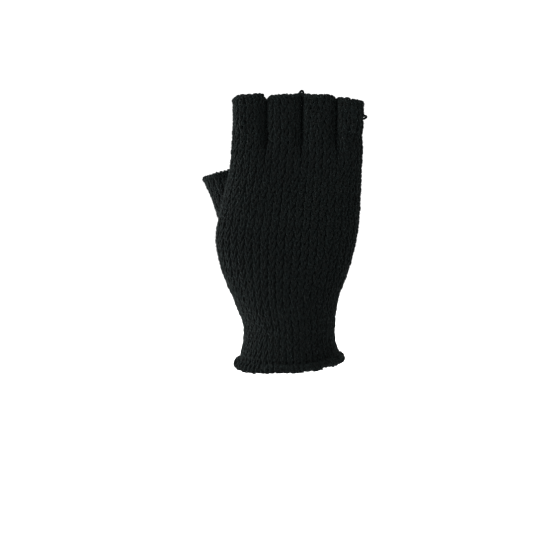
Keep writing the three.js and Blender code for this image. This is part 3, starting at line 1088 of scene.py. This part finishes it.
def make_finger(finger):
    """One finger's sleeve and its hem."""
    top = FINGERS[finger][2]
    wales = FINGER_WALES[finger]
    low, high = CROTCH - FABRIC_OVERHANG, top + FABRIC_OVERHANG
    sleeve = Fabric(sleeve_ring(*FINGERS[finger]), low, high, SLEEVE_STEP)
    bend = finger_bend(finger)
    crowded = beside_neighbours(finger)
    clear = clear_of_eyelets(EYELETS[finger])
    # The courses of neighbouring sleeves start with different loops, so that they interlock.
    kinds = (TUCK, HELD) if finger in ("middle", "little") else (HELD, TUCK)
    hem_low, hem_top = top - HEM_HEIGHT, top - HEM_END
    rows = knit(
        sleeve, wales, CROTCH, hem_low, HAND_COURSE, kinds=kinds, thick=SLEEVE_THICK, eyelets=EYELETS[finger]
    )
    add_piece(f"{finger}_knit", sweep_all(rows), KNIT, [f"{finger}_sleeve"], bend=bend)
    web = nap(sleeve, wales, CROTCH - FORK_OVERLAP, hem_top, clear, crowded)
    add_piece(f"{finger}_nap", web, NAP, bend=bend)
    add_piece(f"{finger}_fuzz", fuzz(rows, FIBRES["finger"], crowded), FUZZ, bend=bend)
    rim = knit(sleeve, wales, hem_low, hem_top, HEM_COURSE, kinds=(PLAIN, PLAIN))
    rim += whip_rim(sleeve, wales, top, FINGER_WHIP_DROPS, FINGER_WINDING, crowded)
    add_piece(f"{finger}_edge", sweep_all(rim), HEM, [f"{finger}_hem"], body=finger)
    stray = fuzz(rim, FIBRES["finger_edge"], crowded)
    add_piece(f"{finger}_edge_fuzz", stray, FUZZ, body=finger)


def along_thumb(distance):
    """A point on the line that the thumb bends along, in metres."""
    return tuple((THUMB_BASE + THUMB_NORMAL * distance * THUMB_STEEPNESS) * MM)


def make_thumb():
    """The gusset, the thumb's sleeve and its hem."""
    thumb = Fabric(thumb_ring, 0, THUMB_LENGTH + FABRIC_OVERHANG, SLEEVE_STEP)
    keep = outside_hand
    hem_low, hem_top = THUMB_LENGTH - HEM_HEIGHT, THUMB_LENGTH - HEM_END
    bend = (("hand", "thumb"), (along_thumb(THUMB_JOIN), along_thumb(THUMB_LENGTH - THUMB_BEND_STOP)))
    gusset = knit(thumb, THUMB_WALES, GUSSET_LOW, THUMB_JOIN, HAND_COURSE, keep)
    add_piece("thumb_gusset_knit", sweep_all(gusset), KNIT, ["thumb_gusset"], body="hand")
    rows = knit(thumb, THUMB_WALES, THUMB_JOIN, hem_low, HAND_COURSE, keep)
    add_piece("thumb_knit", sweep_all(rows), KNIT, ["thumb_sleeve"], bend=bend)
    add_piece("thumb_nap", nap(thumb, THUMB_WALES, GUSSET_LOW, hem_top, keep), NAP, bend=bend)
    add_piece("thumb_fuzz", fuzz(gusset + rows, FIBRES["thumb"]), FUZZ, bend=bend)
    rim = knit(
        thumb, THUMB_WALES, hem_low, hem_top, HEM_COURSE, kinds=(PLAIN, PLAIN), thick=THUMB_HEM_THICK
    )
    rim += whip_rim(thumb, THUMB_WALES, THUMB_LENGTH, THUMB_WHIP_DROPS, THUMB_WINDING)
    add_piece("thumb_edge", sweep_all(rim), HEM, ["thumb_hem"], body="thumb")
    add_piece("thumb_edge_fuzz", fuzz(rim, FIBRES["thumb_edge"]), FUZZ, body="thumb")


def make_loose_end(name, body, root, way, across, size, turns):
    """A loose end of yarn that has worked its way out of an edge."""
    t = np.linspace(0, 1, LOOSE_STEPS * turns)
    swing = t * turns * TURN
    root, way, across = (np.asarray(v, float) for v in (root, way, across))
    spread = np.sin(math.pi * t) * (1 - np.cos(swing)) / 2
    width = LOOSE_WIDTH * (1 - LOOSE_GROWTH + LOOSE_GROWTH * t)
    aside = width * np.sin(swing) + LOOSE_DRIFT * (t - 0.5)
    points = root + way * size * spread[:, None] + across * size * aside[:, None]
    normals = np.tile(np.cross(way, across), (len(t), 1))
    add_piece(name, sweep_all([Strand(points, normals, LOOSE_YARN, False)]), HEM, body=body)


def make_crotch(node_name):
    """Linking stitches wrapped round the fork between two fingers."""
    low, high = (np.array(corner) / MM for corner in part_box(node_name))
    t = np.linspace(0, CROTCH_WRAPS * TURN, CROTCH_WRAPS * CROTCH_STEPS)
    radius = (high[0] - low[0]) / 2 - CROTCH_GAP
    centre = (low + high) / 2
    low[1] += CROTCH_RECESS
    high[1] -= CROTCH_RECESS
    x = centre[0] + radius * np.cos(t)
    y = np.linspace(low[1], high[1], len(t))
    z = centre[2] + radius * CROTCH_FLATNESS * np.sin(t)
    points = np.stack([x, y, z], 1)
    normals = np.stack([np.cos(t), np.zeros_like(t), np.sin(t)], 1)
    count = CROTCH_CORE_POINTS
    core_y = np.linspace(low[1], high[1], count)
    core = np.stack([np.full(count, centre[0]), core_y, np.full(count, centre[2])], 1)
    up = np.tile((0.0, 0, 1), (count, 1))
    strands = [Strand(points, normals, CROTCH_YARN, False), Strand(core, up, CROTCH_CORE, False)]
    add_piece(f"{node_name}_stitches", sweep_all(strands), HEM, [node_name], body="hand")


make_camera()
make_studio()
hand_fabric = Fabric(hand_ring, *HAND_GRID)
make_cuff(hand_fabric)
make_cuff_edge(hand_fabric)
make_elastics(hand_fabric)
make_hand(hand_fabric)
for finger in FINGERS:
    make_finger(finger)
make_thumb()
for loose_end in LOOSE_ENDS:
    make_loose_end(*loose_end)
for node_name in sorted(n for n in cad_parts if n.endswith("_crotch")):
    make_crotch(node_name)
